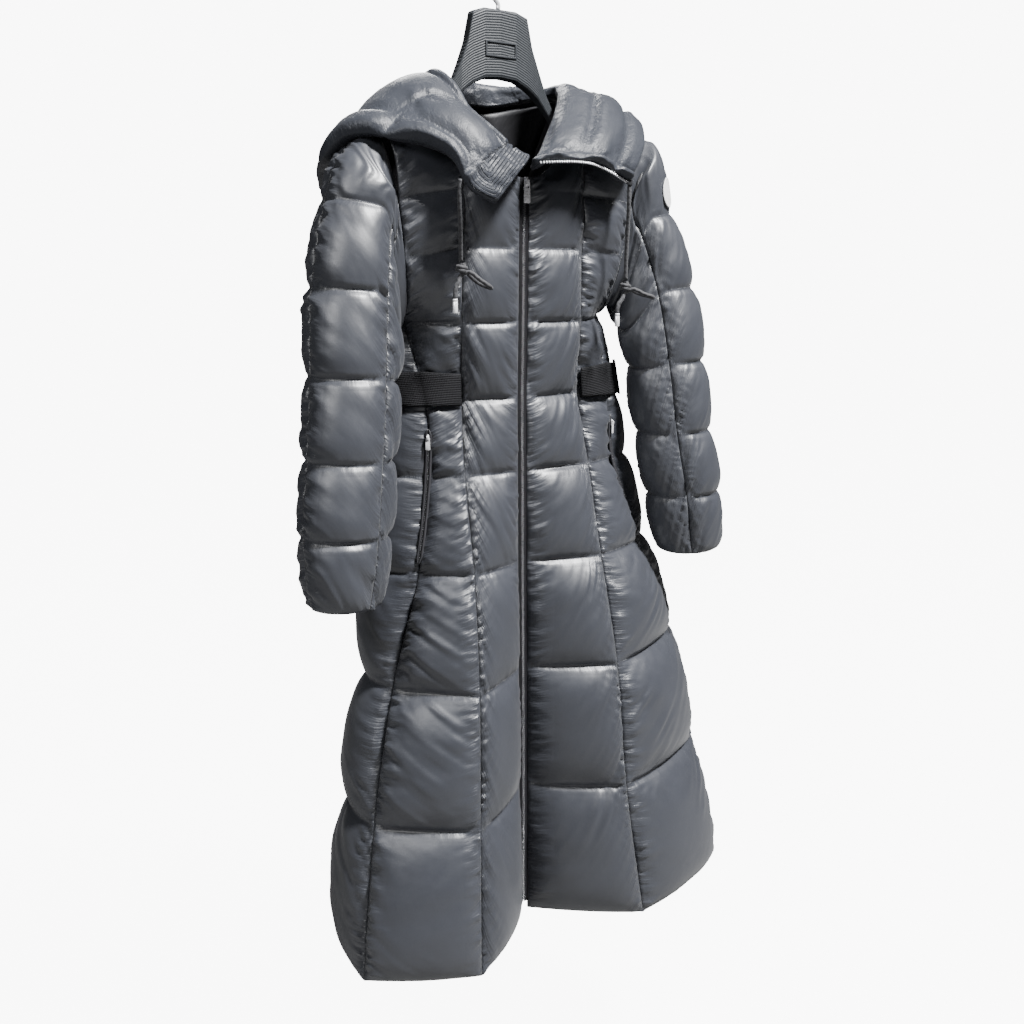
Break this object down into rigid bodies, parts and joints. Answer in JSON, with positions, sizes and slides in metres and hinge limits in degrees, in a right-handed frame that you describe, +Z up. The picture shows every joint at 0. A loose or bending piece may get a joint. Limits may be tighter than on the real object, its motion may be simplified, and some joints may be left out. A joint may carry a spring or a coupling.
{
  "type": "hooded long puffer coat on a hanger",
  "caption": "Ankle-length quilted puffer coat with a turned-back hood, a zip front, long sleeves and a webbing belt, hung from its hanger's hook.",
  "frame": {"origin": "top of the inside of the hanger's hook, where the hook bears on a rail", "axes": "+Z up, +X to the wearer's left, -Y the front of the coat"},
  "size_m": [0.7122, 0.3705, 1.3602],
  "materials": {
    "shell": "satin nylon",
    "webbing": "matte woven tape",
    "metal": "polished nickel",
    "cord": "braided cord",
    "plastic": "satin moulded plastic",
    "badge": "plain cloth disc"
  },
  "bodies": {
    "coat": {"front_centre_right": "shell", "front_side_right": "shell", "back_side_right": "shell", "back_centre_right": "shell", "sleeve_front_right": "shell", "sleeve_back_right": "shell", "sleeve_under_right": "shell", "front_centre_left": "shell", "front_side_left": "shell", "back_side_left": "shell", "back_centre_left": "shell", "sleeve_front_left": "shell", "sleeve_back_left": "shell", "sleeve_under_left": "shell", "hood_right": "shell", "hood_left": "shell", "zip_right": "webbing", "zip_left": "webbing", "zip_slider": "metal", "pocket_right": "webbing", "pocket_slider_right": "metal", "pocket_left": "webbing", "pocket_slider_left": "metal", "belt_right": "webbing", "belt_loop_right": "webbing", "belt_left": "webbing", "belt_loop_left": "webbing", "cord_drop_right": "cord", "cord_bow_right": "cord", "cord_tail_right": "cord", "cord_knot_right": "cord", "cord_tip_right": "metal", "cord_drop_left": "cord", "cord_bow_left": "cord", "cord_tail_left": "cord", "cord_knot_left": "cord", "cord_tip_left": "metal", "sleeve_badge": "badge", "hanger": "plastic", "hanger_frame": "plastic", "hanger_hook": "metal"},
    "zip_pull": {"zip_pull": "metal"},
    "pocket_pull_right": {"pocket_pull_right": "metal"},
    "pocket_pull_left": {"pocket_pull_left": "metal"}
  },
  "joints": [
    {"name": "zip_pull_swing", "type": "hinge", "parent": "coat", "child": "zip_pull", "pos_m": [0.003, -0.0681, -0.28534], "axis": [-1, 0, 0], "range_deg": [0, 80]},
    {"name": "pocket_pull_right_swing", "type": "hinge", "parent": "coat", "child": "pocket_pull_right", "pos_m": [-0.13454, -0.03742, -0.6183], "axis": [-0.8127, 0.5826, 0], "range_deg": [0, 75]},
    {"name": "pocket_pull_left_swing", "type": "hinge", "parent": "coat", "child": "pocket_pull_left", "pos_m": [0.17598, -0.03779, -0.6183], "axis": [-0.8483, -0.5296, 0], "range_deg": [0, 75]}
  ]
}
